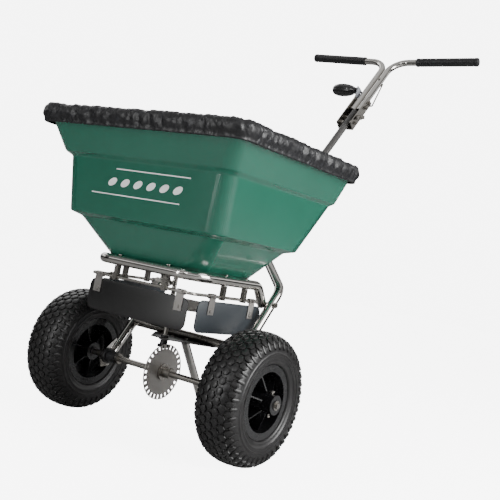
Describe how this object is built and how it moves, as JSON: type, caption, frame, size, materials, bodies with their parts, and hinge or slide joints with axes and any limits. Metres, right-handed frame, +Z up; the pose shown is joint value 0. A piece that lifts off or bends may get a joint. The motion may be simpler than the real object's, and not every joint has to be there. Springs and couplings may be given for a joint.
{
  "type": "broadcast spreader",
  "caption": "Push broadcast spreader with a green tiered hopper under a black fabric cover, a stainless tube frame, deflector flaps and pneumatic wheels",
  "frame": {"origin": "on the ground under the middle of the whole object's bounding box", "axes": "X across the spreader, +Y from the front of the hopper to the handle, +Z up"},
  "size_m": [0.7412, 1.2579, 1.2989],
  "materials": {
    "polished_tube": "polished stainless tube",
    "satin_steel": "satin stainless",
    "dark_steel": "dark powder coat",
    "bolt_zinc": "bright stainless",
    "black_plastic": "moulded black nylon",
    "gloss_black": "smooth moulded",
    "green_poly": "smooth rotomoulded poly",
    "tyre_rubber": "pneumatic tyre rubber",
    "tube_rubber": "inner tube rubber",
    "grip_vinyl": "soft vinyl",
    "cover_nylon": "coated nylon with an elastic hem",
    "flap_rubber": "thick flexible sheet",
    "flap_slate": "thick flexible sheet"
  },
  "bodies": {
    "frame": {"side_tube_left": "polished_tube", "side_tube_right": "polished_tube", "cross_tube": "satin_steel", "support_hoop": "polished_tube", "frame_bolts": "bolt_zinc", "column_socket": "polished_tube", "handle_column": "dark_steel", "bearing_plate": "dark_steel", "lower_shaft_bush": "black_plastic", "upper_shaft_bush": "black_plastic", "stand_leg": "polished_tube", "stand_foot": "black_plastic", "axle_bearing_left": "black_plastic", "axle_bearing_right": "black_plastic", "hopper": "green_poly", "hopper_base": "polished_tube", "shutter_guides": "satin_steel", "handlebar_left": "polished_tube", "handlebar_right": "polished_tube", "grip_left": "grip_vinyl", "grip_right": "grip_vinyl", "handle_bracket": "polished_tube", "handle_bolts": "bolt_zinc", "handle_wing_bolt": "bolt_zinc", "handle_stay": "satin_steel", "rate_scale": "satin_steel", "lever_pivot_pin": "bolt_zinc", "flap_rod": "satin_steel", "rod_hangers": "satin_steel", "hanger_bolts": "bolt_zinc"},
    "drive": {"drive_axle": "satin_steel", "axle_collars": "satin_steel", "crown_gear": "satin_steel", "gear_hub": "satin_steel", "gear_clamp_bolt": "bolt_zinc", "drive_rim": "black_plastic", "drive_tyre": "tyre_rubber", "drive_inner_tube": "tube_rubber", "drive_pin": "bolt_zinc", "axle_end_bolts": "bolt_zinc"},
    "free_wheel": {"free_rim": "black_plastic", "free_tyre": "tyre_rubber", "free_inner_tube": "tube_rubber", "free_wheel_bushes": "black_plastic"},
    "spinner": {"spinner_shaft": "satin_steel", "spinner_pinion": "black_plastic", "spinner_disc": "satin_steel", "agitator": "satin_steel"},
    "shutter": {"shutter_plate": "satin_steel"},
    "control_rod": {"control_rod": "satin_steel"},
    "lever": {"rate_lever": "satin_steel", "lever_knob": "gloss_black"},
    "rate_stop": {"rate_stop": "black_plastic"},
    "front_flap": {"front_flap": "flap_rubber", "front_flap_straps": "satin_steel"},
    "right_flap": {"right_flap": "flap_slate", "right_flap_straps": "satin_steel"},
    "left_flap": {"left_flap": "flap_slate", "left_flap_straps": "satin_steel"},
    "cover": {"hopper_cover": "cover_nylon"}
  },
  "joints": [
    {"name": "axle_spin", "type": "hinge", "parent": "frame", "child": "drive", "pos_m": [0, -0.34499, 0.165], "axis": [1, 0, 0], "continuous": true},
    {"name": "free_wheel_spin", "type": "hinge", "parent": "frame", "child": "free_wheel", "pos_m": [0, -0.34499, 0.165], "axis": [1, 0, 0], "continuous": true},
    {"name": "spinner_spin", "type": "hinge", "parent": "frame", "child": "spinner", "pos_m": [-0.00614, -0.34499, 0.338], "axis": [0, 0, 1], "continuous": true},
    {"name": "lever_swing", "type": "hinge", "parent": "frame", "child": "lever", "pos_m": [0, 0.44719, 1.07123], "axis": [-1, 0, 0], "range_deg": [0, 40]},
    {"name": "shutter_slide", "type": "slide", "parent": "frame", "child": "shutter", "axis": [0, -1, 0], "range_m": [0, 0.0343]},
    {"name": "rod_tilt", "type": "hinge", "parent": "shutter", "child": "control_rod", "pos_m": [0, -0.04692, 0.4312], "axis": [-1, 0, 0], "range_deg": [0, 2]},
    {"name": "stop_slide", "type": "hinge", "parent": "frame", "child": "rate_stop", "pos_m": [0, 0.44719, 1.07123], "axis": [1, 0, 0], "range_deg": [0, 40]},
    {"name": "front_flap_swing", "type": "hinge", "parent": "frame", "child": "front_flap", "pos_m": [0, -0.48999, 0.388], "axis": [-1, 0, 0], "range_deg": [-25, 75]},
    {"name": "right_flap_swing", "type": "hinge", "parent": "frame", "child": "right_flap", "pos_m": [0.165, -0.34499, 0.388], "axis": [0, 1, 0], "range_deg": [-3, 35]},
    {"name": "left_flap_swing", "type": "hinge", "parent": "frame", "child": "left_flap", "pos_m": [-0.165, -0.34499, 0.388], "axis": [0, -1, 0], "range_deg": [-3, 35]},
    {"name": "cover_lift", "type": "slide", "parent": "frame", "child": "cover", "axis": [0, 0, 1], "range_m": [0, 0.12]}
  ],
  "couplings": [
    {"joint": "spinner_spin", "follows": "axle_spin", "ratio": -4.6667},
    {"joint": "shutter_slide", "follows": "lever_swing", "m_per_rad": 0.048982},
    {"joint": "rod_tilt", "follows": "lever_swing", "ratio": 0.04596}
  ]
}
